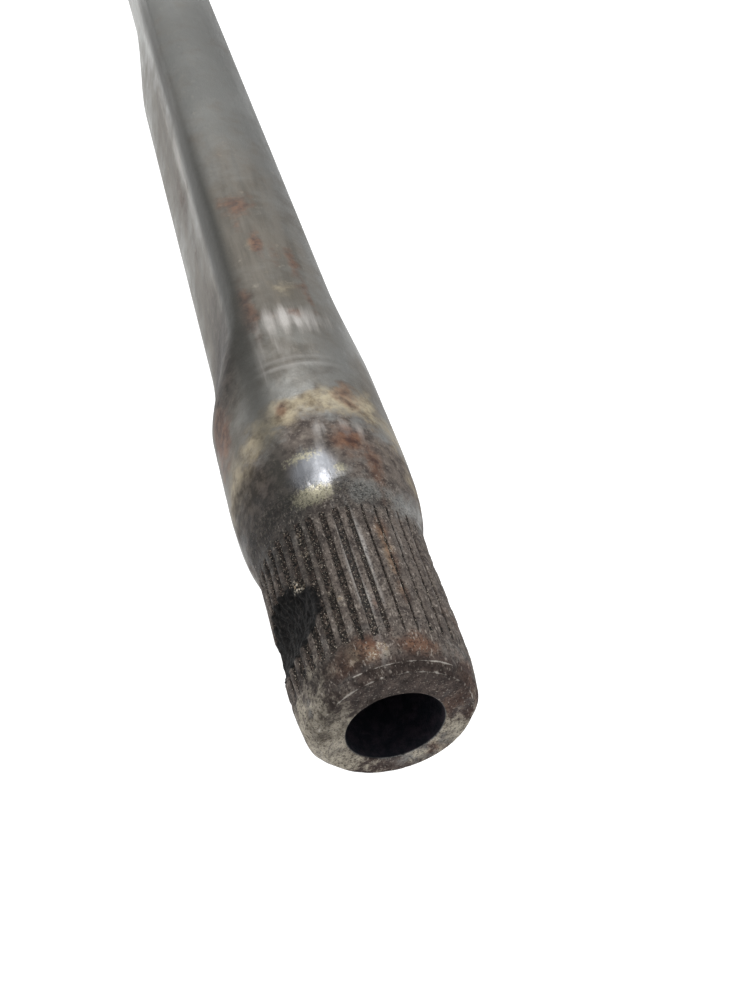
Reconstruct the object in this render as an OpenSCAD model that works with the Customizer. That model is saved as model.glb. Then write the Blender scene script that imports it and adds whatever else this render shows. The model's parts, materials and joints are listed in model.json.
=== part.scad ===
// Telescoping steering intermediate shaft: a hollow double-D tube with a swaged, splined and
// pinch-grooved end, a sliding double-D bar, and a needle-bearing universal joint with a clamp yoke.
// Millimetres. The shaft axis is X, the splined end face is at X = 0, the two flats face +Y and -Y.

/* [Splined end] */
// Number of serrations on the splined end
teeth = 40; // [36:1:44]
// Outside diameter over the serrations
spline_d = 20.6; // [20:0.1:21]
// Depth of one serration
tooth_depth = 0.7; // [0.4:0.05:0.8]
// Diameter of the end rim behind its chamfer
rim_d = 19; // [18.4:0.1:19.2]
// Diameter of the flat end face
face_d = 17; // [16.4:0.1:18]
// Length of the chamfer around the end face
chamfer_l = 1.3; // [0.8:0.1:1.6]
// Diameter of the open bore in the splined end
bore_d = 10.9; // [9:0.1:11.5]
// Length of the tapered lead-in from the end face to the full spline diameter
lead_l = 9; // [6:0.5:11]
// Distance from the end face to where the serrations stop
spline_l = 24.5; // [23:0.5:26]
// Length of the rounded shoulder from the serrations up to the tube
shoulder_l = 15.5; // [12:0.5:18]
// Distance from the end face to the middle of the pinch-bolt groove
groove_x = 12.5; // [11:0.5:15]
// Distance from the shaft axis to the bottom of the pinch-bolt groove
groove_floor = 8.25; // [7.8:0.05:9]
// Radius of the pinch-bolt groove
groove_r = 6; // [5:0.1:6.5]

/* [Double-D tube] */
// Outside diameter of the tube
tube_d = 23.7; // [23:0.1:24.5]
// Width of the tube across its two flats
tube_af = 16.2; // [15.6:0.1:17]
// Wall thickness of the tube
wall = 2.3; // [2:0.1:2.4]
// Whole length of the tube, from end face to mouth
tube_l = 380; // [378:1:386]
// Distance from the end face to where the flats begin to sink in
flat_start = 53; // [48:1:60]
// Length over which a flat sinks to its full depth
flat_runout = 20; // [15:1:25]
// Distance from the end face to the start of the pressed relief
relief_start = 171; // [166:1:176]
// Distance from the end face to the end of the pressed relief
relief_end = 272; // [268:1:272]
// Length over which the relief sinks to its full depth
relief_runout = 28; // [24:1:30]
// Distance from the shaft axis to the floor of the pressed relief
relief_floor = 5.75; // [5.4:0.05:6.5]

/* [Slide] */
// Thickness of the plastic liner between tube and bar
liner_t = 1.2; // [1:0.1:1.4]
// Length of the plastic liner
liner_l = 56; // [50:1:60]
// Diameter of the liner's four moulded locking plugs
plug_d = 5; // [4:0.5:6]
// Running clearance between the liner and the bar
slide_gap = 0.05; // [0.02:0.01:0.09]
// Distance from the end face to the inner end of the bar
bar_start = 300; // [298:1:304]

/* [Universal joint] */
// Distance from the end face to the centre of the universal joint
joint_x = 472; // [470:1:480]
// Diameter of the cross's trunnions
trunnion_d = 10; // [9.6:0.1:10.2]
// Outside diameter of the bearing cups
cup_d = 16; // [15.9:0.1:16.4]
// Distance from the joint centre to the inner face of an ear
ear_in = 12.4; // [12.3:0.1:12.6]
// Distance from the joint centre to the outer face of an ear
ear_out = 22; // [21.8:0.1:22.4]
// Radius of an ear's rounded end
ear_r = 11.1; // [10.8:0.1:11.2]
// Number of needle rollers in each cup
needles = 18; // [14:1:18]

/* [Clamp yoke] */
// Length of the clamp yoke's hub
clamp_l = 27; // [25:1:30]
// Outside diameter of the clamp yoke's hub
clamp_d = 31; // [30:0.5:33]
// Width of the clamping slot
slot_w = 3; // [2:0.5:4]
// Diameter of the pinch bolt
bolt_d = 10; // [9.8:0.1:10]

/* [Hidden] */
$fn = 96;

e = 0.01;                            // small overshoot of a cutter past the face it cuts
tube_r = tube_d / 2;
spline_r = spline_d / 2;
flat_h = tube_af / 2;                // shaft axis to a flat of the tube
bore_in_r = tube_r - wall;           // round part of the tube's inside
bore_in_h = flat_h - wall;           // flat part of the tube's inside
liner_fit = 0.05;                    // liner's clearance to the tube's inside
bore_break = 0.15;                   // broken edge of the bore at the end face
groove_turn = 8;                     // pinch groove's turn from the +Y flat towards the top
relief_turn = 45;                    // pressed relief's turn from the +Y flat towards the bottom
swage_start = 30;                    // where the end's bore begins to widen
swage_end = 48;                      // where the bore has reached the tube's full inside
cap_l = 12;                          // mouth cap, along the shaft
cap_t = 1.2;                         // mouth cap's sheet thickness
cap_lip = 4.5;                       // how far the cap stands past the tube's mouth
seal_l = 3.1;                        // wiper seal, along the shaft
bar_r = bore_in_r - liner_fit - liner_t - slide_gap;
bar_h = bore_in_h - liner_fit - liner_t - slide_gap;
liner_end = tube_l - 3;
yoke_base = 24;                      // joint centre to the inner face of a yoke's base
yoke_base_t = 10;                    // thickness of a yoke's base
hub_l = 18;                          // shaft yoke's round hub
hub_r = 12.6;
bead_l = 3;
weld_gap = 0.01;                     // bar's clearance in the weld and the hub
cup_wall = 0.97;
cup_floor = 1.4;
cup_in = 11;                         // joint centre to a cup's open edge
cup_out = 19.8;                      // joint centre to a cup's closed face
ring_t = 1.2;                        // snap ring, and the ear groove it sits in
ring_bite = 0.6;                     // how deep a snap ring bites into the ear
trunnion_out = 18.3;                 // joint centre to a trunnion's end
shoulder_out = 9.8;                  // joint centre to the seal shoulder of the cross
seal_t = 1.05;
needle_r = 0.98;
spline_minor_r = spline_r - tooth_depth;
land_part = 0.5;                     // part of one pitch that a serration's land takes
hub_start = joint_x + yoke_base + yoke_base_t;
bolt_x = hub_start + groove_x + 1.5;
bolt_z = -(spline_r + bolt_d / 2 + 0.2);
clamp_bore_r = 9.6;                  // radius of the lands inside the clamp yoke
lug_y = clamp_d / 2;                 // half the width over the two clamp lugs
head_t = 6.4;
head_af = 16;

// Turns a shape drawn along Z so that it runs along X
module along_x() { rotate([0, 90, 0]) children(); }

// Extrudes an outline drawn as (Y, Z) from x0 to x1
module prism_x(x0, x1) { translate([x0, 0, 0]) rotate([90, 0, 90]) linear_extrude(x1 - x0) children(); }

// Round bar cut by two flats, as an outline: radius r, flats at plus and minus h
module double_d(r, h) {
  intersection() {
    circle(r);
    square([2 * h, 2 * r + 2], center = true);
  }
}

// Serrated outline: crests at radius ro, roots at radius ri, crests take the part `crest` of a pitch
module serration(ro, ri, crest) {
  pitch = 360 / teeth;
  polygon([for (i = [0 : teeth - 1], c = [[-crest / 2, ro], [crest / 2, ro], [0.5 - 0.12, ri], [0.5 + 0.12, ri]])
    c[1] * [cos((i + c[0]) * pitch), sin((i + c[0]) * pitch)]]);
}

// Radius of the swaged shoulder at the part u of its length: steep first, then flattening out
function shoulder_radius(u) = spline_r + (tube_r - spline_r) * (1 - pow(1 - u, 3));

// Press tool with its floor at y = floor_h from x0 to x1: its ends rise in arcs that are tangent
// to the floor and reach the height `top` over the length `runout`
module press_tool(x0, x1, floor_h, top, runout) {
  rise = top - floor_h;
  arc_r = (runout * runout + rise * rise) / (2 * rise);
  translate([0, 0, -20])
    linear_extrude(40)
      difference() {
        translate([x0, floor_h]) square([x1 - x0, 14]);
        translate([x0 + runout, floor_h]) difference() {
          translate([-runout - 1, -1]) square([runout + 1, rise + 1]);
          translate([0, arc_r]) circle(arc_r, $fn = 360);
        }
        translate([x1 - runout, floor_h]) difference() {
          translate([0, -1]) square([runout + 1, rise + 1]);
          translate([0, arc_r]) circle(arc_r, $fn = 360);
        }
      }
}

// The two flats and the relief, for a surface that lies `inset` inside the tube's outside
module tube_presses(inset) {
  for (side = [0, 180])
    rotate([side, 0, 0])
      press_tool(flat_start, tube_l + 100, flat_h - inset, tube_r - inset, flat_runout);
  rotate([-relief_turn, 0, 0])
    press_tool(relief_start, relief_end, relief_floor - inset, tube_r - inset, relief_runout);
}

// Swaged end and tube as a turned body
module tube_body() {
  along_x() rotate_extrude($fn = 180)
    polygon(concat(
      [[0, 0], [face_d / 2, 0], [rim_d / 2, chamfer_l], [spline_r - 0.35, lead_l / 2], [spline_r, lead_l],
       [spline_r, spline_l]],
      [for (i = [1 : 10]) [shoulder_radius(i / 10), spline_l + shoulder_l * i / 10]],
      [[tube_r, tube_l], [0, tube_l]]));
}

// Inside of the tube: bore, swaged widening and full inside, out through the mouth
module tube_inside() {
  difference() {
    along_x() rotate_extrude($fn = 180)
      polygon([[0, -1], [bore_d / 2 + bore_break, -1], [bore_d / 2 + bore_break, 0], [bore_d / 2, bore_break],
               [bore_d / 2, swage_start], [bore_in_r, swage_end], [bore_in_r, tube_l + 1], [0, tube_l + 1]]);
    tube_presses(wall);
  }
}

// Holes in the two flats that lock the liner's plugs
module plug_holes(d, depth_in, depth_out) {
  for (x = [liner_end - liner_l + 12, liner_end - 12], side = [0, 180])
    translate([x, 0, 0]) rotate([side, 0, 0])
      translate([0, depth_in, 0]) rotate([-90, 0, 0]) cylinder(d = d, h = depth_out - depth_in);
}

module outer_tube() {
  color("dimgray") difference() {
    tube_body();
    tube_presses(0);
    tube_inside();
    prism_x(-1, spline_l) difference() {
      circle(spline_r + 3);
      serration(spline_r + 0.02, spline_minor_r, land_part);
    }
    rotate([groove_turn, 0, 0]) translate([groove_x, groove_floor + groove_r, 0])
      cylinder(r = groove_r, h = 40, center = true);
    plug_holes(plug_d, bore_in_h - 1, flat_h + 1);
  }
}

module slide_liner() {
  color("ivory") {
    difference() {
      union() {
        prism_x(liner_end - liner_l, liner_end) double_d(bore_in_r - liner_fit, bore_in_h - liner_fit);
        plug_holes(plug_d - 0.04, bore_in_h - liner_t, flat_h);
      }
      prism_x(liner_end - liner_l - 1, liner_end + 1) double_d(bar_r + slide_gap, bar_h + slide_gap);
    }
  }
}

module mouth_cap() {
  color("darkgray") difference() {
    prism_x(tube_l + cap_lip - cap_l, tube_l + cap_lip) double_d(tube_r + cap_t, flat_h + cap_t);
    prism_x(tube_l + cap_lip - cap_l - 1, tube_l + cap_lip - cap_t) double_d(tube_r + 0.02, flat_h + 0.02);
    prism_x(tube_l, tube_l + cap_lip + 1) double_d(bar_r + 1, bar_h + 1);
  }
}

module wiper_seal() {
  color("black") difference() {
    prism_x(tube_l, tube_l + seal_l) double_d(tube_r - 0.1, flat_h - 0.1);
    prism_x(tube_l - 1, tube_l + seal_l + 1) double_d(bar_r + 0.06, bar_h + 0.06);
  }
}

module inner_bar() {
  color("silver") difference() {
    prism_x(bar_start, joint_x - yoke_base - 2) double_d(bar_r, bar_h);
    along_x() translate([0, 0, bar_start - e]) difference() {
      cylinder(r = bar_r + 1, h = 1.5);
      cylinder(r1 = bar_r - 1.4, r2 = bar_r + 0.1, h = 1.5);
    }
  }
}

module weld_bead() {
  hub_face = joint_x - yoke_base - yoke_base_t - hub_l;
  color("gray") difference() {
    translate([hub_face - bead_l, 0, 0]) along_x() cylinder(r1 = bar_r + 0.5, r2 = hub_r - 1.2, h = bead_l);
    prism_x(hub_face - bead_l - 1, hub_face + 1) double_d(bar_r + weld_gap, bar_h + weld_gap);
  }
}

// One ear of a yoke, on the +Z side of the joint centre, with the yoke's base towards -X:
// a rounded plate with the cup's bore and the snap ring's groove
module ear() {
  difference() {
    union() {
      translate([0, 0, ear_in]) linear_extrude(ear_out - ear_in) {
        circle(ear_r);
        translate([-yoke_base - yoke_base_t, -ear_r]) square([yoke_base + yoke_base_t, 2 * ear_r]);
      }
      // inside fillet between the ear and the base
      translate([-yoke_base, 0, ear_in]) rotate([90, 0, 0]) linear_extrude(2 * ear_r, center = true)
        difference() {
          translate([-1, -3.5]) square([4.5, 4.5]);
          translate([3.5, -3.5]) circle(3.5);
        }
    }
    cylinder(d = cup_d, h = ear_out + 1);
    translate([0, 0, cup_out]) cylinder(r = cup_d / 2 + ring_bite, h = ring_t);
    // outer corners of the base, cut back at an angle
    translate([-yoke_base - yoke_base_t, 0, ear_out]) rotate([0, 40, 0]) cube([11.8, 3 * ear_r, 22], center = true);
  }
}

// Two ears and the base that joins them, around the joint centre
module fork() {
  ear();
  rotate([180, 0, 0]) ear();
  translate([-yoke_base - yoke_base_t, -ear_r, -ear_in - e])
    cube([yoke_base_t, 2 * ear_r, 2 * ear_in + 2 * e]);
}

module shaft_yoke() {
  color("dimgray") difference() {
    union() {
      translate([joint_x, 0, 0]) fork();
      translate([joint_x - yoke_base - yoke_base_t - hub_l, 0, 0]) along_x() {
        cylinder(r1 = hub_r - 1.2, r2 = hub_r, h = 2);
        translate([0, 0, 2]) cylinder(r = hub_r, h = hub_l);
      }
    }
    prism_x(joint_x - yoke_base - yoke_base_t - hub_l - 1, joint_x - yoke_base - 2)
      double_d(bar_r + weld_gap, bar_h + weld_gap);
    translate([joint_x - yoke_base - 2 - e, 0, 0]) along_x() cylinder(r = bar_h, h = 4);
  }
}

// Cross of the universal joint: trunnions along Y and Z on a shouldered, rounded centre
module cross() {
  color("lightgray") translate([joint_x, 0, 0]) {
    sphere(9.2);
    for (turn = [0 : 90 : 270]) rotate([turn, 0, 0]) {
      cylinder(r = 7, h = shoulder_out);
      cylinder(d = trunnion_d, h = trunnion_out - 0.8);
      translate([0, 0, trunnion_out - 0.8])
        cylinder(d1 = trunnion_d, d2 = trunnion_d - 1.6, h = 0.8);
    }
  }
}

// Places a bearing piece drawn along +Z at trunnion n: 1 and 2 along Z, 3 and 4 along Y
module at_trunnion(n) {
  turns = [0, 180, -90, 90];
  translate([joint_x, 0, 0]) rotate([turns[n - 1], 0, 0]) children();
}

module bearing_cup(n) {
  color("silver") at_trunnion(n) difference() {
    translate([0, 0, cup_in]) cylinder(d = cup_d, h = cup_out - cup_in);
    translate([0, 0, cup_in - 1]) cylinder(r = cup_d / 2 - cup_wall, h = cup_out - cup_floor - cup_in + 1);
    translate([0, 0, cup_out - 0.4]) cylinder(r = 4.5, h = 1);
  }
}

module needle_set(n) {
  color("gainsboro") at_trunnion(n)
    for (i = [0 : needles - 1]) rotate(i * 360 / needles)
      translate([trunnion_d / 2 + needle_r + 0.04, 0, cup_in + 0.4]) cylinder(r = needle_r, h = 6.4, $fn = 24);
}

module cup_seal(n) {
  color("black") at_trunnion(n) translate([0, 0, cup_in - seal_t]) difference() {
    cylinder(r = cup_d / 2 - 0.2, h = seal_t);
    translate([0, 0, -1]) cylinder(r = trunnion_d / 2 + 0.08, h = seal_t + 2);
  }
}

// Internal snap ring with its gap, seated in the ear's groove over the cup
module snap_ring(n) {
  color("gray") at_trunnion(n) translate([0, 0, cup_out]) difference() {
    cylinder(r = cup_d / 2 + ring_bite, h = ring_t);
    translate([0, 0, -1]) cylinder(r = cup_d / 2 - 1.3, h = ring_t + 2);
    translate([0, -1.6, -1]) cube([cup_d, 3.2, ring_t + 2]);
  }
}

// Clamp yoke: fork, splined hub split on its lower side, and two lugs for the pinch bolt
module clamp_yoke() {
  color("dimgray") difference() {
    union() {
      translate([joint_x, 0, 0]) rotate([90, 0, 0]) mirror([1, 0, 0]) fork();
      translate([hub_start - e, 0, 0]) along_x() {
        cylinder(d = clamp_d, h = clamp_l - 1);
        translate([0, 0, clamp_l - 1]) cylinder(d1 = clamp_d, d2 = clamp_d - 2, h = 1);
      }
      translate([bolt_x, lug_y, bolt_z]) rotate([90, 0, 0]) linear_extrude(2 * lug_y) {
        circle(9);
        translate([-9, 0]) square([18, -bolt_z]);
      }
    }
    prism_x(joint_x + yoke_base - 1, hub_start + clamp_l + 1) serration(spline_r + 0.1, clamp_bore_r - 0.2, 0.12);
    translate([joint_x + yoke_base - 1, 0, 0]) along_x() cylinder(r = clamp_bore_r, h = yoke_base_t + clamp_l + 2);
    translate([hub_start + clamp_l - 1.4, 0, 0]) along_x() cylinder(r1 = clamp_bore_r, r2 = spline_r + 1, h = 1.5);
    translate([hub_start - 3, -slot_w / 2, -40]) cube([clamp_l + 5, slot_w, 40]);
    translate([bolt_x, 0, bolt_z]) rotate([90, 0, 0]) cylinder(d = bolt_d + 0.4, h = 60, center = true);
  }
}

// Hexagon head or nut blank along +Z, its corners trimmed by a cone
module hex_blank(af, t) {
  intersection() {
    cylinder(d = af / cos(30), h = t, $fn = 6);
    cylinder(r1 = af / cos(30) / 2 - 0.2 + t * 1.2, r2 = af / cos(30) / 2 - 0.5, h = t);
  }
}

module pinch_bolt() {
  color("darkgray") translate([bolt_x, lug_y + 2, bolt_z]) rotate([-90, 0, 0]) {
    hex_blank(head_af, head_t);
    translate([0, 0, -2 * lug_y - 13]) cylinder(d = bolt_d - 0.1, h = 2 * lug_y + 13 + e);
    translate([0, 0, -2 * lug_y - 14]) cylinder(d1 = bolt_d - 2.1, d2 = bolt_d - 0.1, h = 1);
  }
}

module lock_washer() {
  color("silver") translate([bolt_x, lug_y, bolt_z]) rotate([-90, 0, 0]) difference() {
    cylinder(d = 18, h = 2);
    translate([0, 0, -1]) cylinder(d = bolt_d + 0.2, h = 4);
    translate([0, -0.8, -1]) cube([12, 1.6, 4]);
  }
}

module pinch_nut() {
  color("darkgray") translate([bolt_x, -lug_y, bolt_z]) rotate([90, 0, 0]) difference() {
    hex_blank(head_af, 8.4);
    translate([0, 0, -1]) cylinder(d = bolt_d - 0.1, h = 11);
  }
}

outer_tube();
slide_liner();
mouth_cap();
wiper_seal();
inner_bar();
weld_bead();
shaft_yoke();
cross();
for (n = [1 : 4]) {
  bearing_cup(n);
  needle_set(n);
  cup_seal(n);
  snap_ring(n);
}
clamp_yoke();
pinch_bolt();
lock_washer();
pinch_nut();
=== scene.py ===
"""Looks of the telescoping steering shaft: a worn, rusty, greasy splined tube and the joint behind it.

Millimetres in the mesh code, metres in Blender. The shaft lies along X with its splined end at x = 0.
Angles around the shaft are in degrees from the top (+Z), positive towards -Y.
"""
import json
import math

import bpy
import numpy as np
from mathutils import Matrix, Vector


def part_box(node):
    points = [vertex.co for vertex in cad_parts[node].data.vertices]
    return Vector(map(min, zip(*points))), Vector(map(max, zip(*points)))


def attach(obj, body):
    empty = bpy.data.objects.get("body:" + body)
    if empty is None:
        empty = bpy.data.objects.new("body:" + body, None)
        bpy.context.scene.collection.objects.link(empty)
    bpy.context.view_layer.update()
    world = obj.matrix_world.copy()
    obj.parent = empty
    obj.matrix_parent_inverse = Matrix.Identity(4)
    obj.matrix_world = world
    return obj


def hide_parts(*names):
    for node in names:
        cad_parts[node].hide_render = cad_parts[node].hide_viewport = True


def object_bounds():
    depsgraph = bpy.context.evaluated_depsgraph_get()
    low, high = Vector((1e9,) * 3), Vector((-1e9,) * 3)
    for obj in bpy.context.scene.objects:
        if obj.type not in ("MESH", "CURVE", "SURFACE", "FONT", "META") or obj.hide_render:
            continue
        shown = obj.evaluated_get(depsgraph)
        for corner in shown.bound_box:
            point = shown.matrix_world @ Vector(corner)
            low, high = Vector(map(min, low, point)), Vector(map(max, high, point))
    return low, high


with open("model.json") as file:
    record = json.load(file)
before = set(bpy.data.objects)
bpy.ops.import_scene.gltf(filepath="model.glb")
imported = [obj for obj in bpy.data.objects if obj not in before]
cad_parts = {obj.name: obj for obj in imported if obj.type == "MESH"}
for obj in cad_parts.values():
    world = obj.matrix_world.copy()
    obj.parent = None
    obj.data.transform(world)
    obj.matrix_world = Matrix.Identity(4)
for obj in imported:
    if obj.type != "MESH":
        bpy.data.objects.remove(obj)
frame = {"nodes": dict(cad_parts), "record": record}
CAD_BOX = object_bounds()

MM = 0.001

# ---------------------------------------------------------------- camera

# The camera looks down on the splined end, with the shaft running away to the upper left.
CAMERA_PLACE = Vector((-68.1, 40.8, 93.4)) * MM
CAMERA_FORWARD = Vector((0.7038, -0.3242, -0.6321))
CAMERA_RIGHT = Vector((-0.2490, -0.9459, 0.2080))
SENSOR = 36.0
LENS = 41.0
NEAR_CLIP = 0.01
FAR_CLIP = 300


def make_camera():
    data = bpy.data.cameras.new("camera")
    data.sensor_width = SENSOR
    data.lens = LENS
    data.clip_start = NEAR_CLIP
    data.clip_end = FAR_CLIP
    camera = bpy.data.objects.new("camera", data)
    forward = CAMERA_FORWARD.normalized()
    right = (CAMERA_RIGHT - forward * CAMERA_RIGHT.dot(forward)).normalized()
    up = right.cross(forward)
    turn = Matrix((right, up, -forward)).transposed().to_4x4()
    camera.matrix_world = Matrix.Translation(CAMERA_PLACE) @ turn
    bpy.context.scene.collection.objects.link(camera)
    bpy.context.scene.camera = camera


# ---------------------------------------------------------------- seeded noise


class Noise:
    """Smooth value noise between 0 and 1 on a seeded lattice."""

    SIDE = 64
    LAYER_SHIFT = 17.3
    LAYER_FADE = 0.55

    def __init__(self, seed):
        self.table = np.random.default_rng(seed).random((self.SIDE,) * 3)

    def layer(self, p, cell):
        """One layer at the points p, with lumps about `cell` millimetres wide."""
        q = p / cell
        low = np.floor(q).astype(int)
        f = q - low
        f = f * f * (3 - 2 * f)
        total = 0.0
        for corner in range(8):
            step = [(corner >> axis) & 1 for axis in range(3)]
            at = [(low[..., axis] + step[axis]) % self.SIDE for axis in range(3)]
            weight = 1.0
            for axis in range(3):
                weight = weight * (f[..., axis] if step[axis] else 1 - f[..., axis])
            total = total + weight * self.table[at[0], at[1], at[2]]
        return total

    def fractal(self, p, cell, layers):
        """Several layers, each half the size of the one before and fainter."""
        total, amount, norm = 0.0, 1.0, 0.0
        for k in range(layers):
            total = total + amount * self.layer(p + self.LAYER_SHIFT * k, cell / 2**k)
            norm += amount
            amount *= self.LAYER_FADE
        return total / norm


def ramp(value, low, high):
    """0 below low, 1 above high, smooth between."""
    t = np.clip((value - low) / (high - low), 0, 1)
    return t * t * (3 - 2 * t)


def band(value, start, full, fade, end):
    """Rises from 0 to 1 between start and full, and falls back to 0 between fade and end."""
    return ramp(value, start, full) * (1 - ramp(value, fade, end))


def angle_gap(a, centre):
    """Signed gap in degrees from centre to a."""
    return (a - centre + 180) % 360 - 180


def near(a, centre, full, none):
    """1 within `full` degrees of centre, 0 beyond `none`."""
    return ramp(-np.abs(angle_gap(a, centre)), -none, -full)


def thin_line(distance, width):
    """1 on a line and 0 away from it."""
    return np.exp(-((distance / width) ** 2))


def soft_min(a, b, width):
    """The smaller of two lengths, rounded where they cross."""
    blend = np.clip(width - np.abs(a - b), 0, None) / width
    return np.minimum(a, b) - blend * blend * width / 4


# ---------------------------------------------------------------- the tube's shape

# Names in _R are radii, and START, END and _X are places along the shaft. FLAT_H is half the width
# across the flats.
TUBE_LOW, TUBE_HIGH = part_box("outer_tube")
BOX_MARGIN = 0.01
TUBE_L = (TUBE_HIGH.x - TUBE_LOW.x) / MM
TUBE_R = (TUBE_HIGH.z - TUBE_LOW.z) / 2 / MM - BOX_MARGIN
FLAT_H = 8.1
WALL = 2.3
TEETH = 40
SPLINE_R = 10.3
ROOT_R = 9.72
RIM_R = 9.5
FACE_R = 8.48
CHAMFER_L = 1.3
END_TILT = 0.42
CHAMFER_SLOPE = 0.7
LEAD_START = 1.0
LEAD_L = 9.0
SPLINE_END = 24.5
SPLINE_MIDDLE = 12
SHOULDER_L = 15.5
SHOULDER_FOOT = (-0.16, 0.22)
BORE_R = 5.45
BORE_BREAK = 0.15
SWAGE_START = 30.0
SWAGE_END = 48.0
RING_X = 49.5

GROOVE_X = 12.5
GROOVE_R = 6.0
GROOVE_FLOOR = 8.25
GROOVE_ANGLE = -82.0

FLAT_START = 53.0
FLAT_RUNOUT = 20.0
RELIEF = (165.0, 272.0)
RELIEF_RUNOUT = 26.0
RELIEF_RETURN = 22.0
RELIEF_FLOOR = 5.75
RELIEF_ANGLE = -135.0
PRESS_TOP = TUBE_R + 0.4

# a flat face is ignored where the surface faces away from it (the cosine of the angle between them)
MIN_FACING = 0.05
NO_LIMIT = 1e3

# how the lands vary: angles and reaches in degrees, widths and lean in shares of a tooth, heights in mm;
# the start spread makes the grooves beside them begin more or less shallow
WORN_ANGLE, WORN_REACH, WORN_WIDTH = 38, 46, 0.66
GRITTY_ANGLE, GRITTY_REACH, GRITTY_WIDTH = -62, 26, 0.32
PLAIN_WIDTH = 0.42
WIDTH_SPREAD = 0.12
HEIGHT_SPREAD = 0.20
LEAN_SPREAD = 0.05
START_SPREAD = 1.6
CROWN_DROP = 0.10
ROOT_RUNOUT = 0.75

# how deep the wear goes
GRIT_DEPTH = 0.30
LUMP_DEPTH = 0.90
KNOCK_DEPTH = 0.13
ROLLED_DEPTH = 0.16
SCALE_DEPTH = 0.10
UNEVEN_DEPTH = 0.05
FACE_PIT_DEPTH = 0.10
CHAMFER_NICK_DEPTH = 0.07
BORE_DEPTH = 0.12

shape_noise = Noise(11)
wear_noise = Noise(12)
tooth_draw = np.random.default_rng(13)
LAND_MIDDLE = (np.arange(TEETH) + 0.5) * 360 / TEETH
# the lands are worn wide on the side away from the pinch groove, and narrowest on the gritty side near it
WORN_SIDE = np.abs(angle_gap(LAND_MIDDLE, WORN_ANGLE)) < WORN_REACH
GRITTY_SIDE = np.abs(angle_gap(LAND_MIDDLE, GRITTY_ANGLE)) < GRITTY_REACH
LAND_WIDTH = np.where(WORN_SIDE, WORN_WIDTH, np.where(GRITTY_SIDE, GRITTY_WIDTH, PLAIN_WIDTH))
LAND_WIDTH = LAND_WIDTH + WIDTH_SPREAD * (tooth_draw.random(TEETH) - 0.5)
LAND_HEIGHT = -HEIGHT_SPREAD * tooth_draw.random(TEETH)
LAND_LEAN = LEAN_SPREAD * (tooth_draw.random(TEETH) - 0.5)
LAND_START = START_SPREAD * tooth_draw.random(TEETH)


def chamfer_ring(a):
    """Radius of the end face's edge, and where the chamfer meets the cone: turned slightly off centre."""
    tilt = np.cos(np.radians(a))
    return FACE_R + END_TILT * tilt, CHAMFER_L - CHAMFER_SLOPE * END_TILT * tilt


def turned_radius(x):
    """Radius of the turned body: lead-in cone, spline, swaged shoulder, tube."""
    along_cone = np.clip((x - LEAD_START) / (LEAD_L - LEAD_START), 0, 1)
    lead = RIM_R + (SPLINE_R - RIM_R) * np.sin(along_cone * math.pi / 2)
    u = np.clip((x - SPLINE_END) / SHOULDER_L, 0, 1)
    rise = 1 - (1 - u) ** 3
    rise = rise * ramp(u, *SHOULDER_FOOT)
    return lead + (TUBE_R - SPLINE_R) * rise


def press_depth(x, start, end, runout, floor, top):
    """Distance from the axis to a pressed face along the shaft, with arcs at both ends."""
    rise = top - floor
    arc = (runout**2 + rise**2) / (2 * rise)
    past = np.clip(np.maximum(start + runout - x, x - (end - runout)), 0, arc)
    return floor + arc - np.sqrt(arc**2 - past**2)


def cap_radius(radius, a, normal_angle, distance, width):
    """Cuts the radius back to a flat face whose normal is at normal_angle."""
    facing = np.cos(np.radians(angle_gap(a, normal_angle)))
    limit = np.where(facing > MIN_FACING, distance / np.maximum(facing, MIN_FACING), NO_LIMIT)
    return soft_min(radius, limit, width)


def tube_section(x, a, inset, width=2.0):
    """Radius of the pressed tube, `inset` inside its outer face."""
    radius = np.where(x < SPLINE_END + SHOULDER_L, turned_radius(x), TUBE_R) - inset
    # the side flats run out of the tube's far end
    flat = press_depth(x, FLAT_START, 2 * TUBE_L, FLAT_RUNOUT, FLAT_H - inset, PRESS_TOP - inset)
    for side in (-90, 90):
        radius = cap_radius(radius, a, side, flat, width)
    sunk = band(x, RELIEF[0], RELIEF[0] + RELIEF_RUNOUT, RELIEF[1] - RELIEF_RETURN, RELIEF[1])
    relief = PRESS_TOP - inset - sunk * (PRESS_TOP - RELIEF_FLOOR)
    return cap_radius(radius, a, RELIEF_ANGLE, relief, width)


def spline_cut(x, a, radius):
    """Depth cut away between the lands at (x, a), and how much of it is the floor of a groove."""
    turn = (a % 360) / 360 * TEETH
    tooth = np.floor(turn).astype(int) % TEETH
    across = turn - np.floor(turn) - 0.5 + LAND_LEAN[tooth] * (x - SPLINE_MIDDLE) / SPLINE_MIDDLE
    land = LAND_WIDTH[tooth] / 2
    groove = ramp(np.abs(across), land - 0.02, land + 0.13)
    # the floors rise to the surface at the spline's end, and are shallow at its start
    root = ROOT_R + ROOT_RUNOUT * ramp(x, SPLINE_END - 2.4, SPLINE_END + 0.6)
    root = root + (0.24 + 0.14 * LAND_START[tooth]) * (1 - ramp(x, 3.5, 7.5))
    crown = radius + LAND_HEIGHT[tooth] * ramp(x, 4, 8) * (1 - ramp(x, 21, 24))
    crown = crown - CROWN_DROP * ramp(np.abs(across), 0.0, 0.25)
    cut = np.clip(radius - np.minimum(root, radius), 0, None) * groove
    return np.where(x < SPLINE_END + 1, np.maximum(cut, (radius - crown) * (root < radius)), 0), groove


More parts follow.
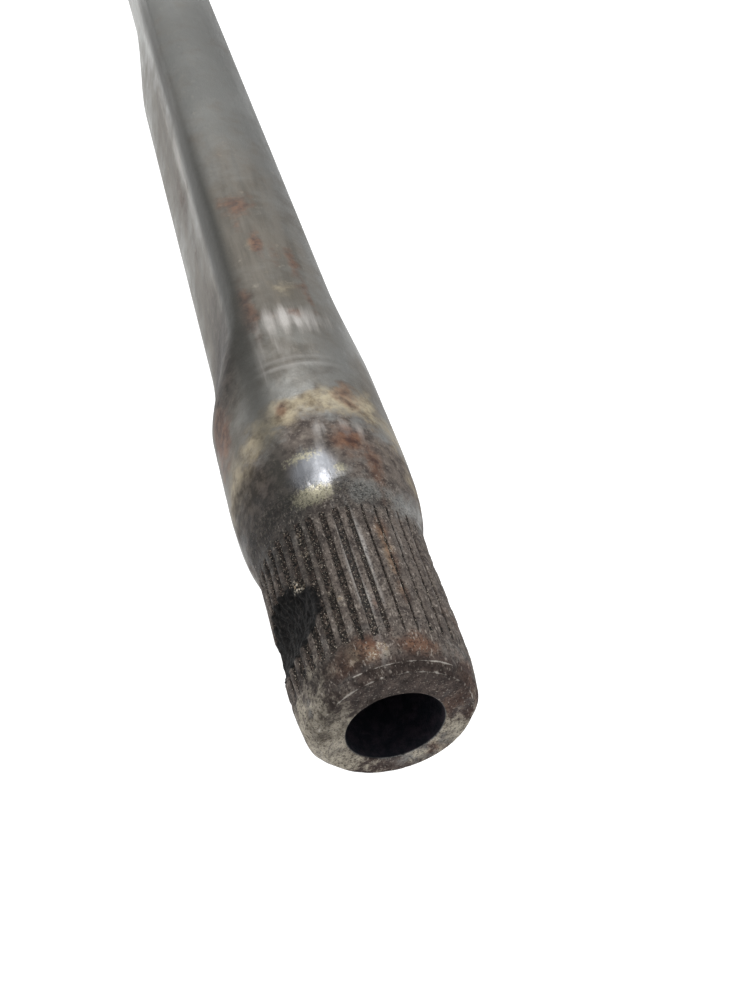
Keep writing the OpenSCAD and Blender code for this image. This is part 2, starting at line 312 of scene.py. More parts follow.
def pinch_limit(x, a):
    """Radius at which the milled pinch-bolt groove cuts the surface."""
    reach = np.sqrt(np.clip(GROOVE_R**2 - (x - GROOVE_X) ** 2, 0, None))
    facing = np.cos(np.radians(angle_gap(a, GROOVE_ANGLE)))
    cut = (GROOVE_FLOOR + GROOVE_R - reach) / np.maximum(facing, MIN_FACING)
    return np.where((np.abs(x - GROOVE_X) < GROOVE_R) & (facing > MIN_FACING), cut, NO_LIMIT)


def on_shaft(x, a, radius):
    """Points in millimetres."""
    turn = np.radians(a)
    return np.stack([x, -radius * np.sin(turn), radius * np.cos(turn)], axis=-1)


def outer_surface(x, a):
    """Outer radius with teeth, wear and corrosion, and the paint's masks for tooth and pinch grooves."""
    clean = tube_section(x, a, 0.0)
    p = on_shaft(x, a, clean)
    cut, groove = spline_cut(x, a, clean)
    in_spline = band(x, 2.5, 5.5, SPLINE_END - 1.2, SPLINE_END + 0.8)
    radius = clean - cut
    pinch = pinch_limit(x, a)
    in_pinch = ramp(clean - pinch + 0.8 * (wear_noise.fractal(p, 1.6, 3) - 0.5), -0.35, 0.25)
    radius = soft_min(radius, pinch, 0.5)
    # grit packed between the lands and in the pinch groove
    grit = shape_noise.fractal(p, 0.55, 2) - 0.5
    lumps = wear_noise.fractal(p, 1.3, 3) - 0.5
    packed = GRIT_DEPTH * grit * groove * in_spline + LUMP_DEPTH * lumps * in_pinch
    radius = radius + packed * (clean - radius > 0.05)
    # small knocks on the lands, and rolled-over, lumpy metal on the lead-in cone
    knock = ramp(wear_noise.fractal(p, 1.1, 2), 0.60, 0.78)
    radius = radius - KNOCK_DEPTH * knock * in_spline * (1 - groove)
    cone = band(x, 0.6, 1.6, 4.0, 6.0)
    radius = radius + ROLLED_DEPTH * cone * (wear_noise.fractal(p, 1.6, 3) - 0.62)
    # scaly corrosion on the shoulder and slight unevenness along the drawn tube
    scale = band(x, 24, 27, 46, 58)
    radius = radius + SCALE_DEPTH * scale * (wear_noise.fractal(p, 2.2, 3) - 0.7)
    radius = radius + UNEVEN_DEPTH * ramp(x, 40, 60) * (shape_noise.layer(p * [0.25, 1, 1], 5.0) - 1)
    return radius, groove * in_spline * ramp(cut, 0.02, 0.16), in_pinch


# ---------------------------------------------------------------- marks on the tube

# Each mark: where it is along the shaft (mm) and around it (degrees), its half length (mm),
# its half width (degrees), and its strength. The material adds noise to it and cuts it off.
MARKS = {
    "haze": [(68, -90, 28, 38, 1.15), (54, -84, 12, 46, 1.0), (125, -90, 44, 40, 0.85),
             (165, -90, 30, 36, 0.4), (78, -16, 32, 44, 0.90), (50, -25, 7, 60, 0.55),
             (200, 0, 40, 60, 0.25), (40, -78, 9, 26, 0.9), (44, 44, 12, 24, 0.8)],
    # shade: painted shade, dark bands along the edge where the side flat meets the round top
    "shade": [(86, -43, 46, 8.5, 1.1), (70, -43, 16, 9, 0.9), (150, -45, 42, 6, 0.75)],
    "smut": [(62, -86, 12, 44, 0.95), (55, -88, 5, 24, 0.85), (49, -12, 5, 24, 0.30),
             (56, -56, 8, 14, 0.5), (29.5, -60, 4.5, 34, 1.25), (36, -66, 5, 26, 0.4),
             (13, -68, 7, 22, 1.1), (22, -62, 6, 22, 0.8), (4, -58, 3, 24, 0.7), (0.6, -20, 1.4, 70, 0.6)],
    "rust": [(92, -17, 3.5, 13, 0.62), (86, -21, 2, 4, 0.7), (80, -11, 4, 4.5, 0.85),
             (76, -3, 4, 5, 0.55), (74, 10, 4, 4, 0.7), (68, 13, 5, 3, 0.6), (65, -35, 5.5, 7, 1.0),
             (61, -31, 4, 5, 0.7), (61.5, 0, 1.2, 5, 0.6), (47, -84, 6, 12, 1.2),
             (42.5, 12, 2.5, 9, 0.75), (41.5, -31, 1.2, 4, 0.7), (34, 4, 3.0, 9, 0.8),
             (31, 14, 3.5, 6, 0.65), (27, 16, 2.5, 5, 0.6), (15, 8, 5, 4, 0.7), (8, -10, 5, 3, 0.55),
             (3.6, -24, 1.6, 8, 1.0), (3, -44, 1.8, 12, 0.6), (3.0, 8, 1.4, 12, 0.75),
             (2.4, 42, 1.4, 18, 0.55), (0.5, 62, 1.2, 22, 0.5), (0, 128, 1.5, 16, 0.4),
             (6, 60, 4, 20, 0.35), (120, 150, 9, 20, 0.7), (52, 140, 6, 24, 0.9), (205, 100, 8, 10, 0.6),
             (20, 150, 6, 40, 0.8), (300, -10, 12, 16, 0.6), (338, 40, 5, 30, 0.8),
             (160, 170, 30, 20, 0.6), (250, 60, 8, 9, 0.6)],
    "brown": [(12, 0, 15, 400, 1.0), (34, -16, 6, 60, 0.95), (31, 30, 8, 40, 0.9), (34, 150, 8, 90, 0.9),
              (42, -14, 2.0, 6, 0.85), (43.5, -6, 1.5, 3, 0.8), (40, -20, 1.5, 3, 0.6),
              (61, -16, 1.2, 5, 0.65), (61.5, -6, 1.0, 4, 0.6), (112, -82, 18, 14, 0.45),
              (82, -78, 12, 10, 0.35)],
    "ochre": [(41.5, 4, 2.6, 30, 0.95), (41, -34, 2.4, 16, 0.95), (38, -54, 2.6, 20, 0.85),
              (35.5, -76, 4.5, 20, 0.85), (39, 46, 5, 26, 0.75), (41, 150, 4, 60, 0.8),
              (26.9, -27, 0.9, 13, 0.95), (79, -12, 9, 9, 0.3), (70, -8, 6, 8, 0.4), (15, 7, 4, 3.5, 0.6),
              (3, -30, 1.6, 8, 0.45), (30, 52, 5, 14, 0.4)],
    "grime": [(25.4, 0, 1.8, 14, 1.0), (26.0, -10, 1.2, 6, 0.8), (24.5, 16, 1.6, 10, 0.7),
              (24, -74, 4, 22, 0.9), (27.0, -8, 0.8, 6, 1.15), (26.0, 2, 1.0, 8, 1.1),
              (20, -48, 6, 16, 0.6), (26, -50, 2.6, 18, 0.9), (26, 60, 2, 30, 0.4), (25, 150, 3, 70, 0.9),
              (12, -38, 9, 9, 0.5)],
    "shine": [(60, -6, 3.0, 24, 0.75), (56, -14, 6, 16, 0.25), (52, -34, 5, 6, 0.35), (52, 6, 6, 6, 0.15),
              (105, -60, 24, 6, 0.4), (130, -60, 30, 7, 0.4), (14, -18, 9, 3, 0.75), (14, -9, 9, 3, 0.65),
              (13, 30, 10, 30, 0.2), (33.5, -24, 1.4, 12, 0.4), (36, 0, 1.4, 16, 0.5),
              (3.2, -27, 0.9, 5, 0.5)],
    "polish": [(29.6, -22, 2.6, 12, 1.0)],
    "olive": [(26.4, -29, 0.9, 11, 1.0), (26.0, -21, 0.5, 6, 0.8), (29.2, -7, 0.8, 3, 0.7),
              (32.2, -28, 0.7, 9, 0.6)],
    "umber": [(0, 0, 1.6, 56, 1.1), (0.7, 40, 1.2, 60, 0.9), (0, -166, 1.4, 11, 0.95),
              (0.6, 172, 1.4, 16, 0.85), (1.2, 150, 1.2, 24, 0.6), (2.5, -40, 2.0, 26, 0.7)],
    "dust": [(0, -112, 1.6, 40, 1.05), (0, 104, 1.5, 22, 0.75), (0, 140, 1.5, 14, 0.5),
             (0.6, -84, 1.5, 26, 0.6), (2.8, -66, 2.4, 16, 0.6), (2, -95, 2, 20, 0.9),
             (3.5, 74, 3.5, 16, 0.4), (2.8, -30, 0.9, 9, 0.7)],
    "flakes": [(3.4, -17, 0.6, 3, 0.8), (2.7, -22, 0.5, 3, 0.65), (15.8, -57, 0.9, 5, 0.75),
               (17, 10, 3, 2, 0.35), (22, -46, 3, 5, 0.26), (11, -34, 4, 5, 0.30)],
}
# these fade out evenly, and the others have frayed edges
SMOOTH_MARKS = ("haze", "shade", "polish")
FRAY = 0.7
MARK_PEAK = 1.45
MARK_FALL = 0.75
MARK_LIMIT = 1.15


def marks(table, x, a, wobble):
    """Strength of the strongest mark at each point, fading out from its middle. `wobble` frays it."""
    total = np.zeros(x.shape)
    for centre, around, half_l, half_w, strength in table:
        gap = np.hypot((x - centre) / half_l, angle_gap(a, around) / half_w)
        total = np.maximum(total, strength * np.clip(MARK_PEAK - MARK_FALL * gap + wobble, 0, MARK_LIMIT))
    return total


# ---------------------------------------------------------------- meshes


def steps(start, end, step):
    """Evenly spaced places from start to just short of end, either way along."""
    return list(np.linspace(start, end, max(1, round((end - start) / step)), endpoint=False))


def new_object(name, verts, faces):
    """A smooth-shaded mesh object; every face has the same number of corners."""
    mesh = bpy.data.meshes.new(name)
    mesh.vertices.add(len(verts))
    mesh.vertices.foreach_set("co", np.asarray(verts, np.float32).ravel())
    faces = np.asarray(faces, np.int32)
    mesh.loops.add(faces.size)
    mesh.polygons.add(len(faces))
    mesh.loops.foreach_set("vertex_index", faces.ravel())
    mesh.polygons.foreach_set("loop_start", np.arange(0, faces.size, faces.shape[1], dtype=np.int32))
    mesh.update(calc_edges=True)
    mesh.polygons.foreach_set("use_smooth", np.full(len(faces), True))
    mesh.validate()
    obj = bpy.data.objects.new(name, mesh)
    bpy.context.scene.collection.objects.link(obj)
    return obj


def paint(obj, name, values):
    """Stores one number per vertex, for the material to read."""
    layer = obj.data.attributes.new(name, "FLOAT", "POINT")
    layer.data.foreach_set("value", np.asarray(values, np.float32).ravel())


COLUMNS = TEETH * 18
# rows along the outside, finest along the teeth: from, to and step
CONE_END = 2.5
OUTER_ROWS = ((CONE_END, 26, 0.16), (26, 60, 0.4), (60, 150, 1.0), (150, 275, 1.6), (275, TUBE_L, 3))
INNER_BLEND = 0.8


def make_tube():
    """The worn tube as one closed sheet: end face, outside, mouth, and back through the inside."""
    around = np.arange(COLUMNS) * 360 / COLUMNS
    x_rows, r_rows, masks = [], [], []

    def row(x, radius, groove=0.0, pinch=0.0):
        x_rows.append(np.broadcast_to(x, COLUMNS))
        r_rows.append(np.broadcast_to(radius, COLUMNS))
        masks.append((np.broadcast_to(groove, COLUMNS), np.broadcast_to(pinch, COLUMNS)))

    def outer_row(x):
        radius, groove, pinch = outer_surface(x, around)
        row(x, radius, groove, pinch)

    # end face and chamfer, with shallow pits and a nicked edge
    face_edge, chamfer_end = chamfer_ring(around)
    rim = outer_surface(chamfer_end, around)[0]
    mouth = BORE_R + BORE_BREAK
    for u in np.linspace(0, 1, 14):
        radius = mouth + (face_edge - mouth) * u
        p = on_shaft(np.zeros(COLUMNS), around, radius)
        pit = FACE_PIT_DEPTH * ramp(wear_noise.fractal(p, 1.0, 3), 0.52, 0.75) * (1 if 0 < u < 1 else 0.3)
        row(pit, radius)
    for u in np.linspace(0, 1, 9)[1:-1]:
        radius = face_edge + (rim - face_edge) * u
        p = on_shaft(u * chamfer_end, around, radius)
        row(u * chamfer_end, radius - CHAMFER_NICK_DEPTH * ramp(wear_noise.fractal(p, 0.8, 2), 0.45, 0.75))
    # the outside, from the chamfer to the mouth
    for u in np.linspace(0, 1, 10, endpoint=False):
        outer_row(chamfer_end + (CONE_END - chamfer_end) * u)
    for start, end, step in OUTER_ROWS:
        for x in steps(start, end, step):
            outer_row(np.full(COLUMNS, x))
    outer_row(np.full(COLUMNS, TUBE_L))
    outside_rows = len(x_rows)
    # mouth face and the way back inside
    for x in steps(TUBE_L, 60, -4) + steps(60, SWAGE_END, -2) + [SWAGE_END]:
        row(x, tube_section(np.full(COLUMNS, x), around, WALL, INNER_BLEND))
    swage_end = tube_section(np.full(COLUMNS, SWAGE_END), around, WALL, INNER_BLEND)
    inner = np.minimum(swage_end, TUBE_R - WALL)
    for u in np.linspace(0, 1, 8)[1:]:
        row(SWAGE_END + (SWAGE_START - SWAGE_END) * u, inner + (BORE_R - inner) * u)
    for x in steps(SWAGE_START - 1.5, BORE_BREAK, -1.2) + [BORE_BREAK]:
        p = on_shaft(np.full(COLUMNS, x), around, BORE_R)
        row(x, BORE_R + BORE_DEPTH * (wear_noise.fractal(p, 2.0, 2) - 0.4) * min(1, x - BORE_BREAK))
    x, r = np.array(x_rows), np.array(r_rows)
    a = np.broadcast_to(around, x.shape)
    verts = on_shaft(x, a, r)
    rows = len(x_rows)
    grid = np.arange(rows * COLUMNS).reshape(rows, COLUMNS)
    below = np.roll(grid, -1, axis=0)
    faces = np.stack([grid, np.roll(grid, -1, axis=1), np.roll(below, -1, axis=1), below], axis=-1)
    tube = new_object("splined_tube", verts.reshape(-1, 3) * MM, faces.reshape(-1, 4))
    fray = FRAY * (wear_noise.fractal(verts, 3.2, 3) - 0.5)
    outside = (np.arange(rows) < outside_rows)[:, None]
    for name, table in MARKS.items():
        wobble = 0 if name in SMOOTH_MARKS else fray
        paint(tube, name, marks(table, x, a, wobble) * outside)
    paint(tube, "groove", np.array([m[0] for m in masks]))
    paint(tube, "pinch", np.array([m[1] for m in masks]))
    paint(tube, "inside", np.broadcast_to(~outside, x.shape))
    paint(tube, "bare", ramp(x, 24, 32))
    # thin bright lines where edges rub: rim, face edge, bore mouth, and a scribed ring on the tube
    on_face = x < 0.3
    edge = 0.85 * thin_line(x - chamfer_end, 0.10) * near(a, -4, 30, 52)
    edge = edge + 0.75 * thin_line(r - face_edge, 0.07) * on_face
    edge = edge + 0.75 * thin_line(r - mouth, 0.10) * on_face * near(a, 135, 30, 60)
    paint(tube, "edge", edge * outside)
    ring = thin_line(x - RING_X, 0.40) + 0.6 * thin_line(x - RING_X - 1.6, 0.40)
    paint(tube, "ring", ring * near(a, -14, 10, 40) * outside)
    return tube


# ---------------------------------------------------------------- materials


class Nodes:
    """A short way to write a node material. Sockets are given a number, a colour, or a node's output."""

    def __init__(self, name, metallic=0.0, roughness=0.5):
        self.material = bpy.data.materials.new(name)
        self.material.use_nodes = True
        self.tree = self.material.node_tree
        self.shader = self.tree.nodes["Principled BSDF"]
        self.shader.inputs["Metallic"].default_value = metallic
        self.shader.inputs["Roughness"].default_value = roughness
        self.place = self.add("ShaderNodeTexCoord").outputs["Object"]

    def add(self, kind, **settings):
        made = self.tree.nodes.new(kind)
        for key, value in settings.items():
            setattr(made, key, value)
        return made

    def link(self, source, target):
        self.tree.links.new(source, target)

    def feed(self, value, socket):
        if isinstance(value, tuple):
            socket.default_value = (*value, 1.0)
        elif isinstance(value, (int, float)):
            socket.default_value = value
        else:
            self.link(value, socket)

    def attribute(self, name):
        return self.add("ShaderNodeAttribute", attribute_name=name).outputs["Fac"]

    def stretched(self, scale):
        mapping = self.add("ShaderNodeMapping")
        mapping.inputs["Scale"].default_value = scale
        self.link(self.place, mapping.inputs["Vector"])
        return mapping.outputs["Vector"]

    def noise(self, scale, detail, roughness, place=None, distortion=0.0):
        made = self.add("ShaderNodeTexNoise")
        made.inputs["Scale"].default_value = scale
        made.inputs["Detail"].default_value = detail
        made.inputs["Roughness"].default_value = roughness
        made.inputs["Distortion"].default_value = distortion
        self.link(place or self.place, made.inputs["Vector"])
        return made.outputs["Fac"]

    def window(self, value, low, high, out_low=0.0, out_high=1.0):
        made = self.add("ShaderNodeMapRange", interpolation_type="SMOOTHSTEP")
        limits = (("From Min", low), ("From Max", high), ("To Min", out_low), ("To Max", out_high))
        for key, number in limits:
            made.inputs[key].default_value = number
        self.link(value, made.inputs["Value"])
        return made.outputs["Result"]

    def math(self, kind, a, b):
        made = self.add("ShaderNodeMath", operation=kind)
        for socket, value in zip(made.inputs, (a, b)):
            self.feed(value, socket)
        return made.outputs[0]

    def largest(self, first, *others):
        for value in others:
            first = self.math("MAXIMUM", first, value)
        return first

    def mix(self, factor, a, b):
        """Mixes two colours. A mix node keeps its colour sockets at 6 and 7, and the result at 2."""
        made = self.add("ShaderNodeMix", data_type="RGBA")
        for socket, value in ((made.inputs["Factor"], factor), (made.inputs[6], a), (made.inputs[7], b)):
            self.feed(value, socket)
        return made.outputs[2]

    def blend(self, factor, a, b):
        """Mixes two numbers. A mix node keeps its number sockets at 2 and 3, and the result at 0."""
        made = self.add("ShaderNodeMix", data_type="FLOAT")
        for socket, value in ((made.inputs["Factor"], factor), (made.inputs[2], a), (made.inputs[3], b)):
            self.feed(value, socket)
        return made.outputs[0]

    def bump(self, height, strength, distance):
        made = self.add("ShaderNodeBump")
        made.inputs["Strength"].default_value = strength
        made.inputs["Distance"].default_value = distance
        self.link(height, made.inputs["Height"])
        self.link(made.outputs["Normal"], self.shader.inputs["Normal"])

    def set(self, socket, value):
        self.link(value, self.shader.inputs[socket])


# Colours on the tube. A pair runs from where the noise is low to where it is high.
STEEL = ((0.175, 0.175, 0.163), (0.235, 0.236, 0.222))
STEEL_STREAK = (0.125, 0.123, 0.113)
STEEL_STAIN = (0.15, 0.135, 0.115)
HAZE = ((0.077, 0.068, 0.054), (0.121, 0.107, 0.087))
BROWN = ((0.036, 0.026, 0.022), (0.108, 0.087, 0.073))
BROWN_FLECK = (0.20, 0.17, 0.145)
UMBER = ((0.030, 0.019, 0.016), (0.080, 0.056, 0.047))
DUST = ((0.125, 0.105, 0.080), (0.350, 0.315, 0.250))
DUST_GAP = (0.070, 0.055, 0.042)
OCHRE = ((0.165, 0.130, 0.085), (0.370, 0.318, 0.215))
SHINE = (0.370, 0.352, 0.330)
RUST = ((0.048, 0.021, 0.015), (0.150, 0.070, 0.038))
SMUT = ((0.016, 0.013, 0.011), (0.054, 0.044, 0.038))
SCRIBED = (0.36, 0.35, 0.33)
# painted shade for the dark bands along the side flat's edge
SHADE = (0.034, 0.033, 0.028)
POLISH = (0.104, 0.107, 0.114)
OLIVE = (0.215, 0.200, 0.140)
GRIME = ((0.009, 0.009, 0.0085), (0.060, 0.056, 0.048))
PIT = (0.012, 0.009, 0.008)
FLECK = (0.29, 0.255, 0.22)
DIRT = ((0.004, 0.0035, 0.003), (0.050, 0.036, 0.029))
# bright specks of grit in the groove dirt, painted bright as glints
GRIT_AND_GLINT_SPECK = (0.42, 0.37, 0.30)
PINCH = ((0.002, 0.002, 0.002), (0.026, 0.023, 0.021))
FLAKE = ((0.210, 0.155, 0.100), (0.460, 0.415, 0.345))
EDGE = (0.40, 0.37, 0.33)
# the inside of the tube, coloured near-black as painted shade in the bore
BORE = ((0.005, 0.006, 0.009), (0.018, 0.014, 0.019))


def tube_material():
    """Worn bare steel with brown scale, rust, dried ochre film, black grease and dirt between the lands,
    painted shade along the side flat's edge and in the bore, and painted glints in the grit.
    """
    m = Nodes("worn_splined_steel")
    grain = m.noise(6500, 3, 0.6)
    fine = m.noise(2400, 4, 0.62)
    mid = m.noise(700, 5, 0.62)
    cloud = m.noise(210, 6, 0.62)
    broad = m.noise(45, 4, 0.55)
    streak = m.noise(520, 4, 0.6, m.stretched((0.10, 1, 1)))
    scratch = m.noise(1500, 3, 0.6, m.stretched((0.06, 1, 1)))
    pits = m.noise(4200, 3, 0.6)
    flecks = m.noise(3300, 3, 0.6, m.stretched((0.45, 1, 1)))
    wander = m.noise(1500, 2, 0.5, m.stretched((1.8, 1, 1)), 0.8)
    inside = m.attribute("inside")
    bare = m.attribute("bare")

    def cover(name, low, high, source, amount, most=1.0):
        """A mark's cover: its painted strength roughened by a noise, then cut off between low and high."""
        rough = m.window(source, 0.25, 0.75, -amount, amount)
        return m.window(m.math("ADD", m.attribute(name), rough), low, high, 0, most)

    def uneven(source, low, high, pair):
        """A colour that runs from one to the other as the noise goes from low to high."""
        return m.mix(m.window(source, low, high), *pair)

    # the steel, the thin films on it, and painted shade along the side flat's edge
    colour = uneven(broad, 0.35, 0.65, STEEL)
    colour = m.mix(m.window(streak, 0.35, 0.75, 0, 0.35), colour, STEEL_STREAK)
    colour = m.mix(m.window(cloud, 0.50, 0.72, 0, 0.30), colour, STEEL_STAIN)
    haze = cover("haze", 0.10, 1.10, cloud, 0.22)
    colour = m.mix(haze, colour, uneven(streak, 0.35, 0.65, HAZE))
    brown = cover("brown", 0.30, 0.95, cloud, 0.36, 0.93)
    brown_colour = uneven(mid, 0.32, 0.62, BROWN)
    brown_colour = m.mix(m.window(fine, 0.50, 0.68, 0, 0.5), brown_colour, BROWN_FLECK)
    colour = m.mix(brown, colour, brown_colour)
    umber = cover("umber", 0.25, 0.85, cloud, 0.30, 0.95)
    colour = m.mix(umber, colour, uneven(mid, 0.35, 0.65, UMBER))
    dust = cover("dust", 0.30, 0.95, mid, 0.50)
    dust_colour = uneven(mid, 0.30, 0.62, DUST)
    dust_colour = m.mix(m.window(fine, 0.50, 0.66, 0, 0.75), dust_colour, DUST_GAP)
    colour = m.mix(dust, colour, dust_colour)
    ochre = cover("ochre", 0.30, 1.10, cloud, 0.36, 0.85)
    colour = m.mix(ochre, colour, uneven(mid, 0.3, 0.65, OCHRE))
    shine = cover("shine", 0.25, 1.15, streak, 0.36)
    shine = m.math("MULTIPLY", shine, m.window(cloud, 0.3, 0.55, 0.5, 1.0))
    colour = m.mix(shine, colour, SHINE)
    rust = cover("rust", 0.25, 1.10, cloud, 0.40, 0.80)
    colour = m.mix(rust, colour, uneven(mid, 0.30, 0.66, RUST))
    smut = cover("smut", 0.05, 1.15, cloud, 0.20, 0.92)
    colour = m.mix(smut, colour, uneven(mid, 0.4, 0.65, SMUT))
    colour = m.mix(m.math("MULTIPLY", m.attribute("ring"), 0.35), colour, SCRIBED)
    # painted shade: darkens the colour smoothly in bands along the side flat's edge
    shade = m.window(m.attribute("shade"), 0.0, 1.15, 0, 0.94)
    colour = m.mix(shade, colour, SHADE)
    polish = cover("polish", 0.15, 0.95, streak, 0.12)
    colour = m.mix(polish, colour, POLISH)
    colour = m.mix(cover("olive", 0.20, 1.05, fine, 0.40, 0.90), colour, OLIVE)

    # black grease, thinner along wandering threads
    thread = m.window(m.math("ABSOLUTE", m.math("SUBTRACT", wander, 0.5), 0.0), 0.0, 0.05, 1, 0)
    grime = cover("grime", 0.30, 0.95, cloud, 0.30, 0.97)
    grime = m.math("MULTIPLY", grime, m.blend(thread, 0.40, 1.0))
    colour = m.mix(grime, colour, uneven(fine, 0.45, 0.66, GRIME))

    # pits and light flecks on the coarse splined end
    coarse = m.math("SUBTRACT", 1.0, bare)
    pitted = m.math("MULTIPLY", m.window(pits, 0.52, 0.64, 0, 0.75), coarse)
    colour = m.mix(pitted, colour, PIT)
    flecked = m.math("MULTIPLY", m.window(flecks, 0.57, 0.68, 0, 0.72), coarse)
    flecked = m.math("MULTIPLY", flecked, m.blend(m.largest(smut, grime), 1.0, 0.25))
    colour = m.mix(flecked, colour, FLECK)

    # dirt between the lands, with grit specks painted bright as glints, dirt in the pinch groove, flakes,
    # rubbed edges, and the bore, coloured near-black as painted shade
    dirt = m.window(m.attribute("groove"), 0.25, 0.75, 0, 0.95)
    dirt_colour = m.mix(m.window(grain, 0.60, 0.68), uneven(fine, 0.42, 0.68, DIRT), GRIT_AND_GLINT_SPECK)
    colour = m.mix(dirt, colour, dirt_colour)
    pinch = m.window(m.attribute("pinch"), 0.15, 0.7, 0, 0.97)
    colour = m.mix(pinch, colour, uneven(fine, 0.50, 0.72, PINCH))
    flakes = m.math("MULTIPLY", cover("flakes", 0.30, 0.85, mid, 0.40), m.window(pits, 0.49, 0.55))
    colour = m.mix(flakes, colour, uneven(fine, 0.42, 0.58, FLAKE))
    colour = m.mix(cover("edge", 0.50, 1.0, mid, 0.50, 0.75), colour, EDGE)
    # painted shade: the inside of the tube is coloured near-black
    colour = m.mix(inside, colour, uneven(mid, 0.40, 0.65, BORE))
    m.set("Base Color", colour)

    # loose films, the painted shade and the near-black bore are matte and don't reflect as metal
    films_and_painted_shade = m.math("MULTIPLY", m.largest(shade, smut, haze), 0.6)
    loose = m.largest(rust, ochre, dirt, dust, pinch, brown, umber, inside, films_and_painted_shade)
    loose = m.math("MULTIPLY", loose, m.blend(polish, 1.0, 0.0))
    m.set("Metallic", m.blend(loose, 0.85, 0.05))
    rough = m.blend(loose, m.blend(shine, m.window(streak, 0.3, 0.7, 0.33, 0.46), 0.32), 0.75)
    rough = m.blend(polish, rough, m.window(scratch, 0.3, 0.7, 0.31, 0.42))
    m.set("Roughness", m.blend(grime, rough, m.window(fine, 0.4, 0.6, 0.45, 0.75)))
    # sooty films and the bore's painted shade reflect less
    soot_and_bore_shade = m.largest(dirt, pinch, smut, umber, brown, inside)
    m.set("Specular IOR Level", m.blend(soot_and_bore_shade, 0.5, 0.12))
    relief = m.math("ADD", m.math("MULTIPLY", fine, 0.5), mid)
    relief = m.math("ADD", m.math("MULTIPLY", grain, 0.35), relief)
    relief = m.math("MULTIPLY", relief, m.blend(bare, 1.0, 0.22))
    m.bump(m.math("MULTIPLY", relief, m.blend(polish, 1.0, 0.12)), 0.8, 0.00034)
    return m.material


# how a finish is stretched: the same all round, or drawn out along the bar
EVEN = (1, 1, 1)
DRAWN = (0.08, 1, 1)


def clouded_material(name, light, dark, metallic, roughness, scale, stretch, bump, stains=None):
    """A finish with clouding, fine grain and, where `stains` is given, stains of that colour."""
    m = Nodes(name, metallic=metallic)
    place = m.stretched(stretch)
    cloud = m.noise(scale, 5, 0.6, place)
    fine = m.noise(scale * 9, 4, 0.6, place)
    colour = m.mix(m.window(cloud, 0.35, 0.65), dark, light)
    if stains:
        colour = m.mix(m.window(m.noise(scale * 0.5, 6, 0.65), 0.56, 0.68, 0, 0.85), colour, stains)
    m.set("Base Color", colour)
    m.set("Roughness", m.window(cloud, 0.3, 0.7, roughness - 0.08, roughness + 0.12))
    m.bump(m.math("ADD", cloud, m.math("MULTIPLY", fine, 0.5)), bump, 0.0002)
    return m.material


FLOOR_GREY = (0.45, 0.45, 0.45, 1)
FLOOR_GLOW_COLOUR = (1, 1, 1, 1)
FLOOR_GLOW = 0.84


def floor_material():
    """A matte grey that also glows, so that it stays pale in the shaft's shadow."""
    m = Nodes("pale_floor", roughness=0.9)
    m.shader.inputs["Base Color"].default_value = FLOOR_GREY
    m.shader.inputs["Emission Color"].default_value = FLOOR_GLOW_COLOUR
    m.shader.inputs["Emission Strength"].default_value = FLOOR_GLOW
    return m.material


# ---------------------------------------------------------------- build

make_camera()

tube = make_tube()
tube.data.materials.append(tube_material())
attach(tube, "tube")
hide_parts("outer_tube")

# name, light and dark colour, metallic, roughness, fineness of the clouding, stretch, relief, stains
FINISH = {
    "machined_steel": clouded_material(
        "drawn_bar", (0.36, 0.35, 0.33), (0.25, 0.24, 0.22), 0.9, 0.34, 300, DRAWN, 0.2,
        (0.13, 0.075, 0.045)),
    "forged_steel": clouded_material(
        "forged_scale", (0.100, 0.092, 0.084), (0.046, 0.041, 0.038), 0.45, 0.58, 340, EVEN, 0.9,
        (0.11, 0.055, 0.032)),
    "bearing_steel": clouded_material(
        "ground_steel", (0.30, 0.29, 0.27), (0.19, 0.18, 0.165), 0.95, 0.28, 260, EVEN, 0.15,
        (0.10, 0.06, 0.04)),
    "zinc_steel": clouded_material(
        "dull_zinc", (0.30, 0.295, 0.265), (0.235, 0.23, 0.205), 0.8, 0.40, 240, EVEN, 0.2,
        (0.17, 0.14, 0.10)),
    "spring_steel": clouded_material(
        "black_oxide", (0.07, 0.07, 0.075), (0.035, 0.035, 0.038), 0.7, 0.4, 600, EVEN, 0.2),
    "liner_plastic": clouded_material(
        "acetal", (0.60, 0.56, 0.44), (0.50, 0.46, 0.36), 0.0, 0.45, 300, EVEN, 0.1),
    "seal_rubber": clouded_material(
        "nitrile_rubber", (0.035, 0.035, 0.036), (0.018, 0.018, 0.019), 0.0, 0.62, 800, EVEN, 0.3),
}
for part in frame["record"]["subparts"]:
    finish = FINISH.get(part["material_slot"])
    if finish:
        mesh = frame["nodes"][part["node"]].data
        mesh.materials.clear()
        mesh.materials.append(finish)

# ---------------------------------------------------------------- stage

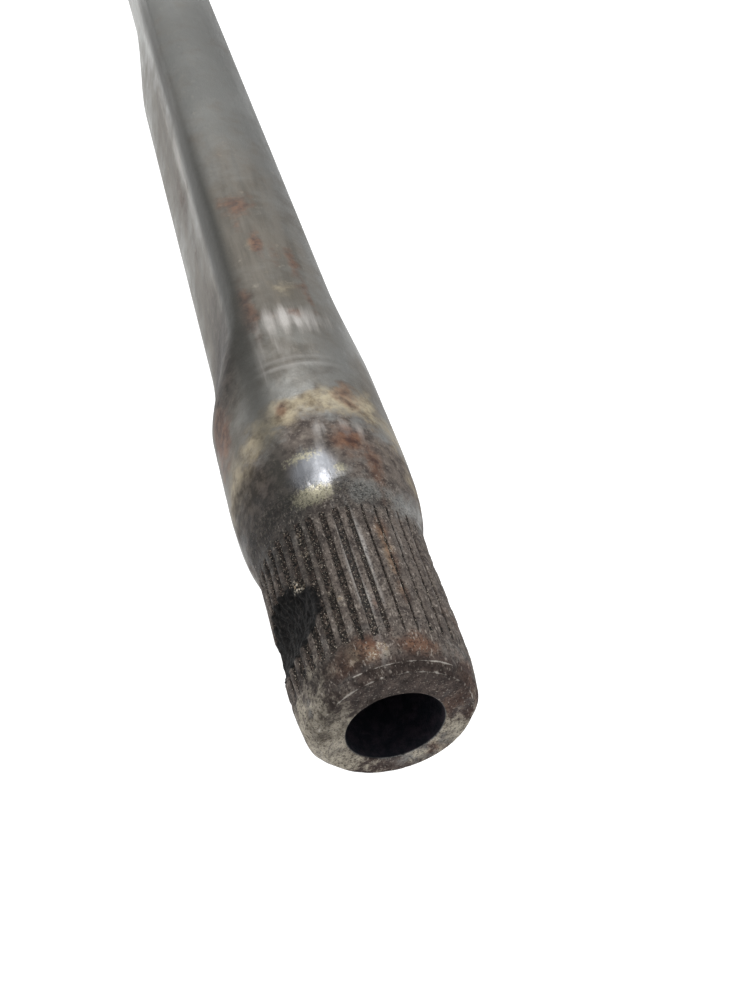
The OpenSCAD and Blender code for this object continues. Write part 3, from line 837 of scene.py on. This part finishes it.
# the floor lies low enough for the clamp yoke to swing down to its limit above it
SWING_ROOM = 0.022
FLOOR_SIZE = 200
FLOOR_X = 0.25
floor_z = CAD_BOX[0][2] - SWING_ROOM
bpy.ops.mesh.primitive_plane_add(size=FLOOR_SIZE, location=(FLOOR_X, 0, floor_z))
floor = bpy.context.object
floor.name = "floor"
floor.data.materials.append(floor_material())


# a small light high above the shaft, on its +Y side, aimed at the shoulder behind the splined end
KEY_PLACE = Vector((0.30, 0.15, 0.60))
KEY_TARGET = Vector((0.03, 0, 0))
KEY_SIZE = (0.16, 0.12)
KEY_POWER = 3.0


def key_light():
    data = bpy.data.lights.new("key", "AREA")
    data.shape = "RECTANGLE"
    data.size, data.size_y = KEY_SIZE
    data.energy = KEY_POWER
    light = bpy.data.objects.new("key", data)
    light.location = KEY_PLACE
    light.rotation_euler = (KEY_TARGET - KEY_PLACE).to_track_quat("-Z", "Y").to_euler()
    bpy.context.scene.collection.objects.link(light)


# height and brightness of the sky at its dim end and at its pale end
HORIZON = (0.12, 0.22)
CEILING = (0.5, 1.0)
SKY_COLOUR = (0.97, 0.98, 1.0, 1)


def studio_world():
    """A pale ceiling over a dim horizon, so that round steel shows its usual dark bands."""
    world = bpy.data.worlds.new("studio")
    world.use_nodes = True
    tree = world.node_tree
    place = tree.nodes.new("ShaderNodeTexCoord")
    split = tree.nodes.new("ShaderNodeSeparateXYZ")
    tree.links.new(place.outputs["Generated"], split.inputs["Vector"])
    height = tree.nodes.new("ShaderNodeMapRange")
    height.interpolation_type = "SMOOTHSTEP"
    height.inputs["From Min"].default_value, height.inputs["To Min"].default_value = HORIZON
    height.inputs["From Max"].default_value, height.inputs["To Max"].default_value = CEILING
    tree.links.new(split.outputs["Z"], height.inputs["Value"])
    background = tree.nodes["Background"]
    background.inputs["Color"].default_value = SKY_COLOUR
    tree.links.new(height.outputs["Result"], background.inputs["Strength"])
    bpy.context.scene.world = world


studio_world()
key_light()
bpy.context.scene.view_settings.view_transform = "Standard"
